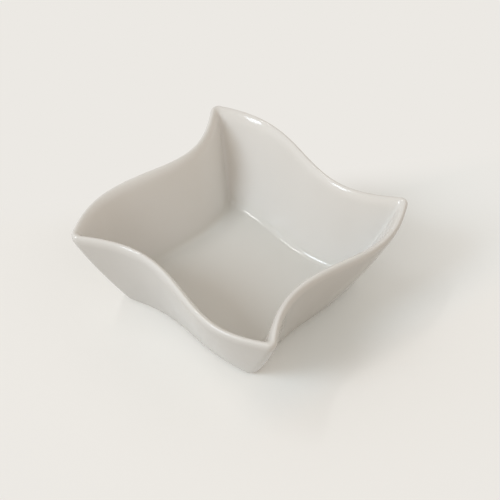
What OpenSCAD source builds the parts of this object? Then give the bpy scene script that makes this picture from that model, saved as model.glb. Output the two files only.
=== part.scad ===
// Square sauce dish in glazed porcelain, with flaring walls whose rim runs in a slow S along each side.
// The four sides repeat by quarter turns about the upright axis, and the dish stands on z = 0.

/* [Rim] */
// Span of the rim square, between the lines through its corners
rim_w = 86; // [74:1:100]
// Height of the dish at its tips
dish_h = 36; // [30:1:44]
// Swing of the S in each side of the rim, to either side of its line
rim_wave = 6.2; // [0:0.1:7.5]
// How far each side of the rim draws in at its middle
rim_draw = 2.1; // [0:0.1:4]
// How far the rim dips where the S swings most
rim_dip = 0.5; // [0:0.1:2]
// Corner radius of the outside at the tips
tip_r = 3; // [2:0.1:5]

/* [Base] */
// Span of the base square, between the lines through its corners
base_w = 60; // [50:0.5:68]
// Swing of the S in each side of the base
base_wave = 1.7; // [0:0.1:3]
// How far each side of the base draws in at its middle
base_draw = 1.7; // [0:0.1:3]
// Corner radius of the outside at the base
base_r = 4; // [3:0.1:7]
// Turn of the base against the rim, in degrees, clockwise from above
base_turn = 3.5; // [0:0.5:8]

/* [Wall] */
// Thickness of the glazed wall under the lip
wall_t = 3.1; // [2.4:0.1:3.8]
// How much thicker the wall grows towards the floor, measured level
low_wall = 0.9; // [0:0.1:1.5]
// How far the walls swell out at half height
belly = 0.9; // [0:0.05:1.5]
// How far the rounded, narrowing lip reaches down the wall
lip_h = 3.8; // [2:0.1:6]
// Radius of the upright creases inside, where two walls meet
crease_r = 1.2; // [0.8:0.1:3]

/* [Floor and foot] */
// Height of the glazed floor above the table
floor_z = 4.1; // [3.6:0.1:7]
// Radius between the floor and the walls
floor_fillet = 3; // [1:0.1:5]
// Rounding of the bare outer edge of the foot
foot_round = 0.4; // [0.2:0.05:0.8]
// Width of the foot ring, from the outer line of the base
foot_w = 3.6; // [2.5:0.1:6]
// Depth of the recess inside the foot ring
recess_d = 1.4; // [0.8:0.1:2]

/* [Glaze] */
// Thickness of the glaze
glaze_t = 0.3; // [0.2:0.05:0.4]
// Height above the table at which the outer glaze stops
glaze_edge_z = 0.8; // [0.8:0.1:2.5]

/* [Hidden] */

// Steps along one side of a ring, and round one of its corners
side_steps = 13;
corner_steps = 5;
// Steps of the profile up a wall, over the lip and round the floor fillet
wall_steps = 6;
lip_steps = 10;
fillet_steps = 4;
foot_steps = 2;

// Mean lean of the walls from upright
lean = atan((rim_w - base_w) / 2 / dish_h);
// Wall and glaze measured level, across the leaning wall
wall_level = wall_t / cos(lean);
glaze_level = glaze_t / cos(lean);
// Height at which the lip starts, and its level reach to either side of its ridge
lip_z = dish_h - lip_h;
lip_reach = wall_level / 2;
// How far the steps of the lip gather at its ridge, in degrees
lip_gather = 15;
// Height of the centre of the floor fillet
fillet_z = floor_z + floor_fillet;

function mix(from, to, share) = from + (to - from) * share;

// Half span of the outside at height z, the level thickness of the wall, and the lean of its inner face
function half_at(z) = let (s = z / dish_h) mix(base_w, rim_w, s) / 2 + belly * 4 * s * (1 - s);
function wall_at(z) = wall_level + low_wall * (1 - z / lip_z);
function lean_at(z) =
    atan((rim_w - base_w) / 2 / dish_h + belly * 4 * (1 - 2 * z / dish_h) / dish_h + low_wall / lip_z);

// Corner radius of the outside, and of a ring set in from it, which eases to the radius of the crease
function outer_r_at(z) = mix(base_r, tip_r, z / dish_h);
function corner_r_at(z, inset) = mix(outer_r_at(z), crease_r, min(1, inset / wall_level));

// Share of the rim's dip that a ring at height z takes: none at the floor and below it
function dip_share_at(z) = max(0, z - floor_z) / (dish_h - floor_z);

// One side in its own axes, along and outward, with u from -1 at its first corner to 1 at its last
function side_point(half, wave, draw, u) = [half * u, half - draw * cos(90 * u) - wave * sin(180 * u)];
function side_heading(half, wave, draw, u) =
    atan2(PI * (draw * sin(90 * u) / 2 - wave * cos(180 * u)), half);

function direction(angle) = [cos(angle), sin(angle)];
function left_of(v) = [-v.y, v.x];
function quarter(v, turns = 1) = [
    v.x * cos(90 * turns) + v.y * sin(90 * turns),
    v.y * cos(90 * turns) - v.x * sin(90 * turns)];
function turned(v, angle) = [v.x * cos(angle) - v.y * sin(angle), v.x * sin(angle) + v.y * cos(angle)];

// Point at share s of the curve that leaves a along arm_a and comes to b along arm_b
function bend(a, arm_a, b, arm_b, s) =
    pow(1 - s, 3) * a + 3 * pow(1 - s, 2) * s * (a + arm_a)
        + 3 * (1 - s) * s * s * (b - arm_b) + s * s * s * b;

// Length of the arms that make such a curve near to an arc, for a given turn
function arm_length(a, b, turn) = norm(b - a) * 2 / 3 * tan(turn / 4) / sin(turn / 2);

// One side of a ring, set in by inset, followed by the corner to the next side: a list of [point, u]
function side_run(half, wave, draw, inset, r) =
    let (
        first_heading = side_heading(half, wave, draw, -1),
        last_heading = side_heading(half, wave, draw, 1),
        reach = (inset + r) * tan((90 + last_heading - first_heading) / 2),
        first_u = -1 + reach * cos(first_heading) / half,
        last_u = 1 - reach * cos(last_heading) / half,
        run = [for (i = [0 : side_steps])
            let (
                u = mix(first_u, last_u, i / side_steps),
                heading = side_heading(half, wave, draw, u))
            [side_point(half, wave, draw, u) - inset * left_of(direction(heading)), u]],
        start = run[side_steps][0],
        end = quarter(run[0][0]),
        start_heading = side_heading(half, wave, draw, last_u),
        end_heading = side_heading(half, wave, draw, first_u),
        arm = arm_length(start, end, 90 + start_heading - end_heading),
        start_arm = arm * direction(start_heading),
        end_arm = arm * quarter(direction(end_heading)))
    concat(run, [for (j = [1 : corner_steps - 1])
        [bend(start, start_arm, end, end_arm, j / corner_steps), 1]]);

// A closed ring at height z, clockwise from above, set in by inset from the outside: a list of [x, y, z]
function ring(z, inset) =
    let (
        s = z / dish_h,
        run = side_run(half_at(z), mix(base_wave, rim_wave, s), mix(base_draw, rim_draw, s),
            inset, corner_r_at(z, inset)),
        turn = -base_turn * (1 - s),
        dip = rim_dip * dip_share_at(z))
    [for (k = [0 : 3], p = run)
        let (flat = turned(quarter(p[0], k), turn))
        [flat.x, flat.y, z - dip * pow(sin(180 * p[1]), 2)]];

// Angle round the lip at a share of its steps
function lip_angle(share) = 180 * share + lip_gather * sin(360 * share);

// Profile of a skin that lies depth under the glazed surface, as [height, inset] from the edge of the outer
// glaze, up the outside, over the lip and down the inside to the edge of the floor
function skin_profile(depth) =
    let (
        level = depth / cos(lean),
        fillet_lean = lean_at(fillet_z),
        fillet_x = half_at(fillet_z) - wall_at(fillet_z) - floor_fillet / cos(fillet_lean),
        fillet_r = floor_fillet + depth,
        wall_end_z = fillet_z - fillet_r * sin(fillet_lean))
    concat(
        [for (i = [0 : wall_steps])
            [mix(glaze_edge_z, lip_z, i / wall_steps), level]],
        [for (i = [1 : lip_steps - 1])
            let (a = lip_angle(i / lip_steps))
            [lip_z + (lip_h - depth) * sin(a), lip_reach - (lip_reach - level) * cos(a)]],
        [for (i = [0 : wall_steps])
            let (z = mix(lip_z, wall_end_z, i / wall_steps))
            [z, wall_at(z) - level]],
        [for (i = [1 : fillet_steps])
            let (
                a = mix(fillet_lean, 90, i / fillet_steps),
                z = fillet_z - fillet_r * sin(a))
            [z, half_at(z) - fillet_x - fillet_r * cos(a)]]);

function skin(depth) = [for (p = skin_profile(depth)) ring(p[0], p[1])];

// The bare foot below the glaze, from its sole up to where the skin of the body starts
function foot() = [for (i = [0 : foot_steps])
    let (a = 90 * i / foot_steps)
    ring(foot_round * (1 - cos(a)), glaze_level + foot_round * (1 - sin(a)))];

function reversed(list) = [for (i = [len(list) - 1 : -1 : 0]) list[i]];
function flat_ring(rows) = [for (p = rows) [p.x, p.y]];

// Solid through rings that start round one point of the axis and end round another. The four-sided patches of
// the first crossed rows split along the other diagonal, so that a skin laid in reverse keeps its triangles.
module loft(rings, first_z, last_z, crossed = 0) {
    rows = len(rings);
    around = len(rings[0]);
    corner = function (i, j) i * around + j % around;
    sides = [for (i = [0 : rows - 2], j = [0 : around - 1])
        each i < crossed
            ? [[corner(i, j), corner(i, j + 1), corner(i + 1, j)],
                [corner(i, j + 1), corner(i + 1, j + 1), corner(i + 1, j)]]
            : [[corner(i, j), corner(i, j + 1), corner(i + 1, j + 1)],
                [corner(i, j), corner(i + 1, j + 1), corner(i + 1, j)]]];
    first_fan = [for (j = [0 : around - 1]) [rows * around, corner(0, j + 1), corner(0, j)]];
    last_fan = [for (j = [0 : around - 1])
        [rows * around + 1, corner(rows - 1, j), corner(rows - 1, j + 1)]];
    polyhedron(
        points = concat([for (row = rings) each row], [[0, 0, first_z], [0, 0, last_z]]),
        faces = concat(sides, first_fan, last_fan),
        convexity = 6);
}

// Outline of the recess inside the foot ring
module recess_outline() polygon(flat_ring(ring(0, foot_w)));

// Fired clay: walls, floor and the bare ring that stands on the table
module porcelain_body() color("#D9D3C7")
    difference() {
        loft(concat(foot(), skin(glaze_t)), 0, floor_z - glaze_t);
        translate([0, 0, -recess_d]) linear_extrude(2 * recess_d) recess_outline();
    }

// Glass coat over the inside, the lip and the outside, down to its edge above the bare foot
module glaze_coat() color("#ECE9E2")
    let (under = reversed(skin(glaze_t)))
    loft(concat(under, skin(0)), floor_z - glaze_t, floor_z, crossed = len(under) - 1);

// Glaze on the roof of the recess under the floor
module underside_glaze() color("#E6E2DA")
    translate([0, 0, recess_d - glaze_t]) linear_extrude(glaze_t) recess_outline();

porcelain_body();
glaze_coat();
underside_glaze();
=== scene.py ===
import math

import bmesh
import bpy
from mathutils import Matrix, Vector, noise


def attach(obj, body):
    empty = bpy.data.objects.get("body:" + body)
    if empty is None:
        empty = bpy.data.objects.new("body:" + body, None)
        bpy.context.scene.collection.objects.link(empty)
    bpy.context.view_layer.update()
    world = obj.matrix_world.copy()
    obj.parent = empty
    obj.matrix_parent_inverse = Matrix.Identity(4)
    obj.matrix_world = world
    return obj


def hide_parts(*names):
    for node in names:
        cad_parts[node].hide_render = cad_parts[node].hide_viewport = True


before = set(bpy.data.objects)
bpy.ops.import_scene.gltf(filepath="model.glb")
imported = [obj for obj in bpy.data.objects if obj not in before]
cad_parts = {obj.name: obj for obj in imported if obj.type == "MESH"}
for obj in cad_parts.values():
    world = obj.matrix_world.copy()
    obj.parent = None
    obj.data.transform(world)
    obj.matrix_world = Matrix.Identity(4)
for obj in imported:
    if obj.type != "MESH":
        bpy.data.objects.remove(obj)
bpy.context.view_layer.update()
mm = 0.001
print("frame loaded, nodes:", ", ".join(sorted(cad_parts)))


# Form of the dish, in millimetres and degrees, the same as the solids
dishForm = {
    "rimSpan": 86, "height": 36, "rimWave": 6.2, "rimDraw": 2.1, "rimDip": 0.5, "tipRadius": 3,
    "baseSpan": 60, "baseWave": 1.7, "baseDraw": 1.7, "baseRadius": 4, "baseTurn": 3.5,
    "wall": 3.1, "lowWall": 0.9, "belly": 0.9, "creaseRadius": 1.2, "lipDrop": 3.8,
    "floorHeight": 4.1, "floorFillet": 3,
    "footRound": 0.4, "footWidth": 3.6, "recessDepth": 1.4,
    "glaze": 0.3, "glazeEdge": 0.8,
}

# How finely the meshes are cut: steps along a side, round a corner and down the profile. lipGather, in
# degrees, draws the lip's steps towards its ridge.
meshSteps = {
    "side": 48, "corner": 14, "wall": 22, "lip": 32, "lipGather": 15, "fillet": 10, "floor": 9, "foot": 5,
}


def mix(start, end, share):
    return start + (end - start) * share


meanSlope = (dishForm["rimSpan"] - dishForm["baseSpan"]) / 2 / dishForm["height"]
meanLean = math.atan(meanSlope)
wallLevel = dishForm["wall"] / math.cos(meanLean)  # wall measured level, across its lean
glazeLevel = dishForm["glaze"] / math.cos(meanLean)
lipStart = dishForm["height"] - dishForm["lipDrop"]
waverSize = 9  # millimetres between the highs and lows of an edge that wavers


def halfAt(z):
    share = z / dishForm["height"]
    swell = dishForm["belly"] * 4 * share * (1 - share)
    return mix(dishForm["baseSpan"], dishForm["rimSpan"], share) / 2 + swell


# Lean of the inner face of the wall
def leanAt(z):
    swell = dishForm["belly"] * 4 * (1 - 2 * z / dishForm["height"]) / dishForm["height"]
    return math.atan(meanSlope + swell + dishForm["lowWall"] / lipStart)


# Level thickness of the wall, which grows from the lip down
def wallAt(z):
    return wallLevel + dishForm["lowWall"] * (1 - z / lipStart)


def cornerRadius(z, inset):
    outside = mix(dishForm["baseRadius"], dishForm["tipRadius"], z / dishForm["height"])
    return mix(outside, dishForm["creaseRadius"], min(1, inset / wallLevel))


# One side seen from above: u runs from -1 at its first corner to 1 at its last
def sidePoint(half, wave, draw, u):
    return Vector((half * u, half - draw * math.cos(math.pi / 2 * u) - wave * math.sin(math.pi * u)))


def sideHeading(half, wave, draw, u):
    rise = draw * math.sin(math.pi / 2 * u) / 2 - wave * math.cos(math.pi * u)
    return math.atan2(math.pi * rise, half)


def along(angle):
    return Vector((math.cos(angle), math.sin(angle)))


def quarterTurn(v, turns):
    for _ in range(turns):
        v = Vector((v.y, -v.x))  # clockwise from above
    return v


# A side set in by inset, then the corner to the next side, as (point, u) pairs
def sideRun(half, wave, draw, inset, radius):
    firstHeading = sideHeading(half, wave, draw, -1)
    lastHeading = sideHeading(half, wave, draw, 1)
    reach = (inset + radius) * math.tan((math.pi / 2 + lastHeading - firstHeading) / 2)
    firstU = -1 + reach * math.cos(firstHeading) / half
    lastU = 1 - reach * math.cos(lastHeading) / half
    run = []
    for i in range(meshSteps["side"] + 1):
        u = mix(firstU, lastU, i / meshSteps["side"])
        heading = sideHeading(half, wave, draw, u)
        run.append((sidePoint(half, wave, draw, u) - inset * along(heading + math.pi / 2), u))
    start = run[-1][0]
    end = quarterTurn(run[0][0], 1)
    startWay = along(sideHeading(half, wave, draw, lastU))
    endWay = quarterTurn(along(sideHeading(half, wave, draw, firstU)), 1)
    turn = startWay.angle(endWay)
    arm = (end - start).length * 2 / 3 * math.tan(turn / 4) / math.sin(turn / 2)
    for j in range(1, meshSteps["corner"]):
        t = j / meshSteps["corner"]
        curve = (1 - t) ** 3 * start + 3 * (1 - t) ** 2 * t * (start + arm * startWay)
        curve += 3 * (1 - t) * t * t * (end - arm * endWay) + t ** 3 * end
        run.append((curve, 1))
    return run


# A closed ring in metres, clockwise from above. atZ lifts it from the level whose outline it takes, and
# wander lets its height waver by so many millimetres on the way round.
def ring(z, inset, atZ=None, wander=0):
    share = z / dishForm["height"]
    run = sideRun(halfAt(z), mix(dishForm["baseWave"], dishForm["rimWave"], share),
                  mix(dishForm["baseDraw"], dishForm["rimDraw"], share), inset, cornerRadius(z, inset))
    turn = Matrix.Rotation(math.radians(-dishForm["baseTurn"] * (1 - share)), 2)
    dipShare = max(0, z - dishForm["floorHeight"]) / (dishForm["height"] - dishForm["floorHeight"])
    points = []
    for side in range(4):
        for flat, u in run:
            x, y = turn @ quarterTurn(flat, side)
            dip = dishForm["rimDip"] * dipShare * math.sin(math.pi * u) ** 2
            lift = wander * noise.noise(Vector((x, y, 0)) / waverSize) if wander else 0
            points.append(Vector((x, y, (z if atZ is None else atZ) - dip + lift)) * mm)
    return points


# Heights and insets of a skin that lies depth under the glazed surface, from foot to lip to floor
def skinProfile(depth):
    level = depth / math.cos(meanLean)
    filletZ = dishForm["floorHeight"] + dishForm["floorFillet"]
    filletLean = leanAt(filletZ)
    filletX = halfAt(filletZ) - wallAt(filletZ) - dishForm["floorFillet"] / math.cos(filletLean)
    filletRadius = dishForm["floorFillet"] + depth
    wallEnd = filletZ - filletRadius * math.sin(filletLean)
    profile = []
    for i in range(meshSteps["wall"] + 1):
        profile.append((mix(dishForm["glazeEdge"], lipStart, i / meshSteps["wall"]), level))
    for i in range(1, meshSteps["lip"]):
        share = i / meshSteps["lip"]
        a = math.pi * share + math.radians(meshSteps["lipGather"]) * math.sin(2 * math.pi * share)
        profile.append((lipStart + (dishForm["lipDrop"] - depth) * math.sin(a),
                        wallLevel / 2 - (wallLevel / 2 - level) * math.cos(a)))
    for i in range(meshSteps["wall"] + 1):
        z = mix(lipStart, wallEnd, i / meshSteps["wall"])
        profile.append((z, wallAt(z) - level))
    for i in range(1, meshSteps["fillet"] + 1):
        a = mix(filletLean, math.pi / 2, i / meshSteps["fillet"])
        z = filletZ - filletRadius * math.sin(a)
        profile.append((z, halfAt(z) - filletX - filletRadius * math.cos(a)))
    return profile


# Rings that draw a flat disc together, from the edge towards its centre
def discRings(edge):
    centre = sum(edge, Vector()) / len(edge)
    shares = [1 - i / meshSteps["floor"] for i in range(1, meshSteps["floor"])]
    return [[centre.lerp(p, share) for p in edge] for share in shares], centre


# A closed mesh through the rings, with a point at each end. marks holds values that the rings carry for the
# material.
def loftPiece(name, rings, firstPole, lastPole, marks=None):
    bm = bmesh.new()
    rows = [[bm.verts.new(p) for p in row] for row in rings]
    around = len(rows[0])
    ends = bm.verts.new(firstPole), bm.verts.new(lastPole)
    for j in range(around):
        k = (j + 1) % around
        bm.faces.new((ends[0], rows[0][k], rows[0][j]))
        for low, high in zip(rows, rows[1:]):
            bm.faces.new((low[j], low[k], high[k], high[j]))
        bm.faces.new((ends[1], rows[-1][j], rows[-1][k]))
    bmesh.ops.recalc_face_normals(bm, faces=bm.faces)
    mesh = bpy.data.meshes.new(name)
    bm.to_mesh(mesh)
    bm.free()
    mesh.shade_smooth()
    for mark, levels in (marks or {}).items():
        layer = mesh.attributes.new(mark, "FLOAT", "POINT")
        spread = [level for level in levels for _ in range(around)] + [levels[0], levels[-1]]
        layer.data.foreach_set("value", spread)
    piece = bpy.data.objects.new(name, mesh)
    bpy.context.scene.collection.objects.link(piece)
    print(f"{name}: {len(mesh.vertices)} points, {len(mesh.polygons)} faces")
    return piece


# Glaze over the inside, the lip and the outside, with a rounded edge that wavers above the bare foot. It runs
# thin over the ridge of the lip and gathers over the floor, most of all along its edge.
coatForm = {
    "beadRise": 0.4, "beadSteps": 5, "wander": 0.2, "thinReach": 1.6, "poolReach": 4.5, "midPool": 0.7,
}


def makeCoat():
    wander = coatForm["wander"]
    under = [ring(z, inset) for z, inset in skinProfile(dishForm["glaze"])]
    under[0] = ring(dishForm["glazeEdge"], glazeLevel, wander=wander)
    bead = []
    for i in range(1, coatForm["beadSteps"] + 1):
        a = math.pi / 2 * i / coatForm["beadSteps"]
        bead.append((dishForm["glazeEdge"] + coatForm["beadRise"] * (1 - math.cos(a)),
                     glazeLevel * (1 - math.sin(a))))
    beadTop = bead[-1][0]
    upper = [p for p in skinProfile(0) if p[0] > beadTop or p[1] > 0]
    outer = [ring(z, inset, wander=wander) for z, inset in bead] + [ring(z, inset) for z, inset in upper]
    underDisc, underPole = discRings(under[-1])
    outerDisc, outerPole = discRings(outer[-1])
    rings = underDisc[::-1] + under[::-1] + outer + outerDisc
    hidden = [0] * (len(underDisc) + len(under))
    profile = bead + upper
    ridge = dishForm["height"]
    thin = [max(0, 1 - (ridge - z) / coatForm["thinReach"]) for z, inset in profile]
    inside = [z < lipStart and inset > glazeLevel for z, inset in profile]
    rise = [z - dishForm["floorHeight"] for z, inset in profile]
    pool = [max(0, 1 - r / coatForm["poolReach"]) if isIn else 0 for r, isIn in zip(rise, inside)]
    floorPool = [mix(1, coatForm["midPool"], (i + 1) / meshSteps["floor"]) for i in range(len(outerDisc))]
    marks = {"glazeThin": hidden + thin + [0] * len(outerDisc), "glazePool": hidden + pool + floorPool}
    return loftPiece("glazeCoat", rings, underPole, outerPole, marks)


# Fired clay: the core of the walls and floor, and the bare ring that stands on the table
footForm = {"innerRound": 0.3}


def makeBody():
    foot = dishForm["footRound"]
    inner = footForm["innerRound"]
    recessEdge = dishForm["footWidth"]
    sole = []
    for i in range(meshSteps["foot"] + 1):
        a = math.pi / 2 * i / meshSteps["foot"]
        sole.append(ring(0, recessEdge - inner * (1 - math.cos(a)), inner * (1 - math.sin(a))))
    for i in range(meshSteps["foot"] + 1):
        a = math.pi / 2 * i / meshSteps["foot"]
        sole.append(ring(foot * (1 - math.cos(a)), glazeLevel + foot * (1 - math.sin(a))))
    roof = ring(0, recessEdge, dishForm["recessDepth"])
    skin = [ring(z, inset) for z, inset in skinProfile(dishForm["glaze"])]
    roofDisc, roofPole = discRings(roof)
    floorDisc, floorPole = discRings(skin[-1])
    rings = roofDisc[::-1] + [roof] + sole + skin + floorDisc
    return loftPiece("porcelainBody", rings, roofPole, floorPole)


# Glaze in the recess under the floor, which creeps a little down the wall of the foot ring
patchForm = {"creep": 0.35, "steps": 5}


def makePatch():
    edge = dishForm["footWidth"]
    top = dishForm["recessDepth"]
    bottom = top - dishForm["glaze"]
    creep = patchForm["creep"]
    rings = [ring(0, edge, top)]
    for i in range(patchForm["steps"] + 1):
        a = math.pi / 2 * i / patchForm["steps"]
        rings.append(ring(0, edge + creep * (1 - math.cos(a)), bottom - creep * (1 - math.sin(a))))
    roofDisc, roofPole = discRings(rings[0])
    faceDisc, facePole = discRings(rings[-1])
    return loftPiece("undersideGlaze", roofDisc[::-1] + rings + faceDisc, roofPole, facePole)


# Colours are written as sRGB hex and handed to the shaders as linear light
def linear(hexColour):
    shares = [int(hexColour[i:i + 2], 16) / 255 for i in (1, 3, 5)]
    return tuple(s / 12.92 if s <= 0.04045 else ((s + 0.055) / 1.055) ** 2.4 for s in shares) + (1,)


# Adds a node, sets its properties and inputs, and links the inputs that are given as sockets
def addNode(tree, kind, properties=None, **inputs):
    node = tree.nodes.new(kind)
    for name, value in (properties or {}).items():
        setattr(node, name, value)
    for name, value in inputs.items():
        key = int(name[1:]) if name[0] == "i" and name[1:].isdigit() else name.replace("_", " ")
        if isinstance(value, bpy.types.NodeSocket):
            tree.links.new(value, node.inputs[key])
        else:
            node.inputs[key].default_value = value
    return node


def newMaterial(name):
    material = bpy.data.materials.new(name)
    material.use_nodes = True
    material.node_tree.nodes.clear()
    return material, material.node_tree


# Pattern scale that gives features of about this size, in millimetres
def featureScale(size):
    return 1 / (size * mm)


# Glossy clear glaze on white porcelain, dipped and fired: a smooth, wet-looking white whose reflections waver
# a little. It is duller where it runs thin over the lip and greyer where it gathers over the floor. The peel
# is drawn coarser than the real one, which is too fine to show. Sizes and depths are in millimetres.
glazeFinish = {
    "white": "#E2E1DE", "cloud": "#DFDDD9", "cloudSize": 24, "cloudDetail": 3.0,
    "thin": "#DFDEDA", "thinShare": 0.5, "pool": "#DADAD1", "poolShare": 0.35,
    "glossSize": 16, "glossDetail": 2.0, "glossSpread": (0.3, 0.7), "glossRange": (0.05, 0.1),
    "lipGloss": 0.14, "ior": 1.5,
    "swellSize": 11, "swellDepth": 0.014, "peelSize": 2.4, "peelDepth": 0.0012, "reliefDetail": 1.0,
}


def makeGlazeMaterial():
    form = glazeFinish
    material, tree = newMaterial("glazedPorcelain")
    place = addNode(tree, "ShaderNodeTexCoord").outputs["Object"]
    clouds = addNode(tree, "ShaderNodeTexNoise", Vector=place, Scale=featureScale(form["cloudSize"]),
                     Detail=form["cloudDetail"])
    white = addNode(tree, "ShaderNodeMix", {"data_type": "RGBA"}, i0=clouds.outputs["Fac"],
                    i6=linear(form["white"]), i7=linear(form["cloud"]))
    pool = addNode(tree, "ShaderNodeAttribute", {"attribute_name": "glazePool"})
    poolShare = addNode(tree, "ShaderNodeMapRange", Value=pool.outputs["Fac"], To_Max=form["poolShare"])
    pooled = addNode(tree, "ShaderNodeMix", {"data_type": "RGBA"}, i0=poolShare.outputs["Result"],
                     i6=white.outputs[2], i7=linear(form["pool"]))
    thin = addNode(tree, "ShaderNodeAttribute", {"attribute_name": "glazeThin"})
    thinShare = addNode(tree, "ShaderNodeMapRange", Value=thin.outputs["Fac"], To_Max=form["thinShare"])
    colour = addNode(tree, "ShaderNodeMix", {"data_type": "RGBA"}, i0=thinShare.outputs["Result"],
                     i6=pooled.outputs[2], i7=linear(form["thin"]))
    streaks = addNode(tree, "ShaderNodeTexNoise", Vector=place, Scale=featureScale(form["glossSize"]),
                      Detail=form["glossDetail"])
    gloss = addNode(tree, "ShaderNodeMapRange", Value=streaks.outputs["Fac"],
                    From_Min=form["glossSpread"][0], From_Max=form["glossSpread"][1],
                    To_Min=form["glossRange"][0], To_Max=form["glossRange"][1])
    rough = addNode(tree, "ShaderNodeMix", {"data_type": "FLOAT"}, i0=thin.outputs["Fac"],
                    i2=gloss.outputs["Result"], i3=form["lipGloss"])
    pits = addNode(tree, "ShaderNodeTexNoise", Vector=place, Scale=featureScale(form["peelSize"]),
                   Detail=form["reliefDetail"])
    peel = addNode(tree, "ShaderNodeBump", Height=pits.outputs["Fac"], Strength=1.0,
                   Distance=form["peelDepth"] * mm)
    waves = addNode(tree, "ShaderNodeTexNoise", Vector=place, Scale=featureScale(form["swellSize"]),
                    Detail=form["reliefDetail"])
    swell = addNode(tree, "ShaderNodeBump", Height=waves.outputs["Fac"], Strength=1.0,
                    Distance=form["swellDepth"] * mm, Normal=peel.outputs["Normal"])
    shader = addNode(tree, "ShaderNodeBsdfPrincipled", Base_Color=colour.outputs[2],
                     Normal=swell.outputs["Normal"], Roughness=rough.outputs[0], IOR=form["ior"])
    addNode(tree, "ShaderNodeOutputMaterial", Surface=shader.outputs["BSDF"])
    return material


# Bare fired porcelain, wiped clean of glaze: a chalky warm white with a fine grit. The edge it stands on is
# rubbed greyer and smoother by the table. The grit is drawn coarser than the real one, which is too fine to
# show. Sizes, heights and depths are in millimetres.
bareFinish = {
    "white": "#DBD6CC", "grit": "#CFC8BB", "gritSize": 0.7, "gritDetail": 4.0, "gritDepth": 0.02, "ior": 1.5,
    "rubbed": "#C3BDB3", "rubbedHeight": 0.15, "rubbedMost": 0.9, "blotchSize": 6, "blotchDetail": 3.0,
    "blotchSpread": (0.35, 0.65), "roughRange": (0.8, 0.55),
}


def makeBareMaterial():
    form = bareFinish
    material, tree = newMaterial("bisquePorcelain")
    place = addNode(tree, "ShaderNodeTexCoord").outputs["Object"]
    height = addNode(tree, "ShaderNodeSeparateXYZ", Vector=place)
    low = addNode(tree, "ShaderNodeMapRange", Value=height.outputs["Z"], From_Max=form["rubbedHeight"] * mm,
                  To_Min=1.0, To_Max=0.0)
    blotches = addNode(tree, "ShaderNodeTexNoise", Vector=place, Scale=featureScale(form["blotchSize"]),
                       Detail=form["blotchDetail"])
    worn = addNode(tree, "ShaderNodeMapRange", Value=blotches.outputs["Fac"],
                   From_Min=form["blotchSpread"][0], From_Max=form["blotchSpread"][1],
                   To_Max=form["rubbedMost"])
    rubbed = addNode(tree, "ShaderNodeMath", {"operation": "MULTIPLY"}, i0=low.outputs["Result"],
                     i1=worn.outputs["Result"])
    grit = addNode(tree, "ShaderNodeTexNoise", Vector=place, Scale=featureScale(form["gritSize"]),
                   Detail=form["gritDetail"])
    chalk = addNode(tree, "ShaderNodeMix", {"data_type": "RGBA"}, i0=grit.outputs["Fac"],
                    i6=linear(form["white"]), i7=linear(form["grit"]))
    colour = addNode(tree, "ShaderNodeMix", {"data_type": "RGBA"}, i0=rubbed.outputs["Value"],
                     i6=chalk.outputs[2], i7=linear(form["rubbed"]))
    rough = addNode(tree, "ShaderNodeMapRange", Value=rubbed.outputs["Value"], To_Min=form["roughRange"][0],
                    To_Max=form["roughRange"][1])
    bump = addNode(tree, "ShaderNodeBump", Height=grit.outputs["Fac"], Strength=1.0,
                   Distance=form["gritDepth"] * mm)
    shader = addNode(tree, "ShaderNodeBsdfPrincipled", Base_Color=colour.outputs[2],
                     Normal=bump.outputs["Normal"], Roughness=rough.outputs["Result"], IOR=form["ior"])
    addNode(tree, "ShaderNodeOutputMaterial", Surface=shader.outputs["BSDF"])
    return material


glazedPorcelain = makeGlazeMaterial()
bisquePorcelain = makeBareMaterial()
print("materials made")

for piece, node, material, slot in (
    (makeCoat(), "glaze_coat", glazedPorcelain, "white_glaze"),
    (makeBody(), "porcelain_body", bisquePorcelain, "bare_porcelain"),
    (makePatch(), "underside_glaze", glazedPorcelain, "white_glaze"),
):
    piece.data.materials.append(material)
    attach(piece, "root")
    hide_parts(node)
print("pieces dressed and seated on their body")


# Pale table and backdrop, in metres. Near the dish the table shows its shading, and further from fadeCentre
# it fades to the backdrop, sooner on the side that shadowGlowWay points to, where the photograph shows no shadow.
# The shadow falls on the side that shadeWay points to and ends where litWay leads out of it: there the paint
# is a little cooler, which keeps the shadow grey. Seen straight or in a reflection the table is pale, and it
# throws less light back up, as a table does in a larger room.
setForm = {
    "halfWidth": 2.0, "backdrop": "#ECE9E4", "table": "#FBFBF8", "bounce": "#ABA9A4",
    "shade": "#F3F9FA", "shadeWay": (0.844, 0.536, 0), "shadeFrom": -0.01, "shadeTo": 0.03,
    "litWay": (0.95, -0.31, 0), "litFrom": 0.042, "litTo": 0.062,
    "fadeCentre": (0.007, 0.0045, 0), "nearFade": 0.0, "farFade": 0.155,
    "shadowGlowWay": (-0.7071, 0.7071, 0), "shadowGlowFrom": 0.022, "shadowGlowTo": 0.055,
}


# 1 where a ray shows the set itself: seen by the camera, in a reflection or through glass
def shownRays(tree):
    path = addNode(tree, "ShaderNodeLightPath")
    direct = addNode(tree, "ShaderNodeMath", {"operation": "MAXIMUM"}, i0=path.outputs["Is Camera Ray"],
                     i1=path.outputs["Is Glossy Ray"])
    return addNode(tree, "ShaderNodeMath", {"operation": "MAXIMUM"}, i0=direct.outputs["Value"],
                   i1=path.outputs["Is Transmission Ray"]).outputs["Value"]


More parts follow.
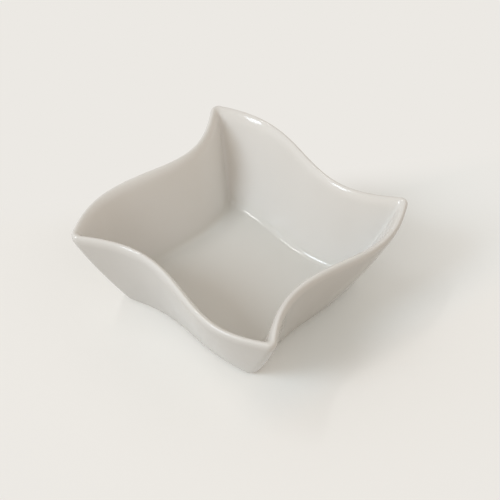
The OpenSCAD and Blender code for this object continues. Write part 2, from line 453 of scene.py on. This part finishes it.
def makeSet():
    mesh = bpy.data.meshes.new("table")
    w = setForm["halfWidth"]
    mesh.from_pydata([(-w, -w, 0), (w, -w, 0), (w, w, 0), (-w, w, 0)], [], [(0, 1, 2, 3)])
    table = bpy.data.objects.new("table", mesh)
    bpy.context.scene.collection.objects.link(table)
    material, tree = newMaterial("paintedTable")
    place = addNode(tree, "ShaderNodeTexCoord").outputs["Object"]
    away = addNode(tree, "ShaderNodeVectorMath", {"operation": "DISTANCE"}, i0=place,
                   i1=setForm["fadeCentre"])
    smooth = {"interpolation_type": "SMOOTHSTEP"}
    # Away from fadeCentre the backdrop's glow is mixed over the table's shading. Far out it is an evenly
    # bright backdrop; nearer in it is painted light that makes the dish's cast shadow paler.
    far = addNode(tree, "ShaderNodeMapRange", smooth, Value=away.outputs["Value"],
                  From_Min=setForm["nearFade"], From_Max=setForm["farFade"])
    # On the side behind the dish the glow comes in sooner and paints the dish's shadow out there.
    behind = addNode(tree, "ShaderNodeVectorMath", {"operation": "DOT_PRODUCT"}, i0=place,
                     i1=setForm["shadowGlowWay"])
    shadowGlow = addNode(tree, "ShaderNodeMapRange", smooth, Value=behind.outputs["Value"],
                   From_Min=setForm["shadowGlowFrom"], From_Max=setForm["shadowGlowTo"])
    across = addNode(tree, "ShaderNodeVectorMath", {"operation": "DOT_PRODUCT"}, i0=place,
                     i1=setForm["shadeWay"])
    shaded = addNode(tree, "ShaderNodeMapRange", smooth, Value=across.outputs["Value"],
                     From_Min=setForm["shadeFrom"], From_Max=setForm["shadeTo"])
    outside = addNode(tree, "ShaderNodeVectorMath", {"operation": "DOT_PRODUCT"}, i0=place,
                      i1=setForm["litWay"])
    unlit = addNode(tree, "ShaderNodeMapRange", smooth, Value=outside.outputs["Value"],
                    From_Min=setForm["litFrom"], From_Max=setForm["litTo"], To_Min=1.0, To_Max=0.0)
    cool = addNode(tree, "ShaderNodeMath", {"operation": "MULTIPLY"}, i0=shaded.outputs["Result"],
                   i1=unlit.outputs["Result"])
    fade = addNode(tree, "ShaderNodeMath", {"operation": "MAXIMUM"}, i0=far.outputs["Result"],
                   i1=shadowGlow.outputs["Result"])
    tint = addNode(tree, "ShaderNodeMix", {"data_type": "RGBA"}, i0=cool.outputs["Value"],
                   i6=linear(setForm["table"]), i7=linear(setForm["shade"]))
    paint = addNode(tree, "ShaderNodeBsdfDiffuse", Color=tint.outputs[2])
    glow = addNode(tree, "ShaderNodeEmission", Color=linear(setForm["backdrop"]))
    bounce = addNode(tree, "ShaderNodeBsdfDiffuse", Color=linear(setForm["bounce"]))
    seen = addNode(tree, "ShaderNodeMixShader", i0=fade.outputs["Value"], i1=paint.outputs["BSDF"],
                   i2=glow.outputs["Emission"])
    both = addNode(tree, "ShaderNodeMixShader", i0=shownRays(tree), i1=bounce.outputs["BSDF"],
                   i2=seen.outputs["Shader"])
    addNode(tree, "ShaderNodeOutputMaterial", Surface=both.outputs["Shader"])
    mesh.materials.append(material)


# Studio light: a soft box at the front left, a narrow lamp high on the left that draws the thin lines of light
# along the floor's edge, and the glow of a warm white room, brighter towards one side and dimmer at its
# ceiling. Distances and sizes are in metres, and a share is a light's part of what falls on a white card
# facing it.
lightSet = {
    "box": {"azimuth": -25, "elevation": 39, "distance": 2.0, "size": (0.62, 0.78), "share": 0.418,
            "colour": "#E7F4FF"},
    "lamp": {"azimuth": -80, "elevation": 62, "distance": 1.6, "size": (0.48, 0.08), "share": 0.07,
             "colour": "#FFFFFF"},
}
roomForm = {"colour": "#FFF3E6", "azimuth": 35, "elevation": 60, "frontLevel": 0.93, "backLevel": 0.43,
            "ceilingLevel": 0.06, "ceilingFrom": 0.72, "ceilingTo": 1.0}


def wayTo(azimuth, elevation):
    a, e = math.radians(azimuth), math.radians(elevation)
    return Vector((math.sin(a) * math.cos(e), -math.cos(a) * math.cos(e), math.sin(e)))


def makeLights():
    for name, form in lightSet.items():
        data = bpy.data.lights.new(name, "AREA")
        data.shape = "RECTANGLE"
        data.size, data.size_y = form["size"]
        data.energy = form["share"] * (math.pi * form["distance"]) ** 2
        data.color = linear(form["colour"])[:3]
        light = bpy.data.objects.new(name, data)
        way = wayTo(form["azimuth"], form["elevation"])
        turn = way.to_track_quat("Z", "Y").to_matrix().to_4x4()
        light.matrix_world = Matrix.Translation(way * form["distance"]) @ turn
        bpy.context.scene.collection.objects.link(light)
    world = bpy.data.worlds.new("whiteRoom")
    bpy.context.scene.world = world
    world.use_nodes = True
    tree = world.node_tree
    tree.nodes.clear()
    way = addNode(tree, "ShaderNodeTexCoord").outputs["Generated"]
    height = addNode(tree, "ShaderNodeSeparateXYZ", Vector=way).outputs["Z"]
    front = addNode(tree, "ShaderNodeVectorMath", {"operation": "DOT_PRODUCT"}, i0=way,
                    i1=wayTo(roomForm["azimuth"], roomForm["elevation"]))
    wall = addNode(tree, "ShaderNodeMapRange", Value=front.outputs["Value"], From_Min=-1.0,
                   To_Min=roomForm["backLevel"], To_Max=roomForm["frontLevel"])
    level = addNode(tree, "ShaderNodeMapRange", {"interpolation_type": "SMOOTHSTEP"}, Value=height,
                    From_Min=roomForm["ceilingFrom"], From_Max=roomForm["ceilingTo"],
                    To_Min=wall.outputs["Result"], To_Max=roomForm["ceilingLevel"])
    room = addNode(tree, "ShaderNodeBackground", Color=linear(roomForm["colour"]),
                   Strength=level.outputs["Result"])
    backdrop = addNode(tree, "ShaderNodeBackground", Color=linear(setForm["backdrop"]), Strength=1.0)
    both = addNode(tree, "ShaderNodeMixShader", i0=shownRays(tree), i1=room.outputs["Background"],
                   i2=backdrop.outputs["Background"])
    addNode(tree, "ShaderNodeOutputWorld", Surface=both.outputs["Shader"])


# The photograph's view: angles in degrees, distances in millimetres, the focal length in pixels of its frame
viewForm = {"elevation": 46.39, "azimuth": 32.41, "roll": 1.89, "distance": 591.4, "right": 3.68, "up": 13.36,
            "focalPixels": 1640, "framePixels": 500, "clipStart": 10}


def makeCamera():
    back = wayTo(viewForm["azimuth"], viewForm["elevation"])
    tilt = Matrix.Rotation(math.radians(viewForm["roll"]), 3, back)
    right = tilt @ Vector((-back.y, back.x, 0)).normalized()
    up = back.cross(right)
    place = (back * viewForm["distance"] + right * viewForm["right"] + up * viewForm["up"]) * mm
    data = bpy.data.cameras.new("photoCamera")
    data.lens = viewForm["focalPixels"] / viewForm["framePixels"] * data.sensor_width
    data.clip_start = viewForm["clipStart"] * mm
    camera = bpy.data.objects.new("photoCamera", data)
    turn = Matrix((right, up, back)).transposed().to_4x4()
    camera.matrix_world = Matrix.Translation(place) @ turn
    bpy.context.scene.collection.objects.link(camera)
    bpy.context.scene.camera = camera


makeSet()
makeLights()
makeCamera()
bpy.context.scene.view_settings.view_transform = "Standard"
print("set, lights and camera placed")
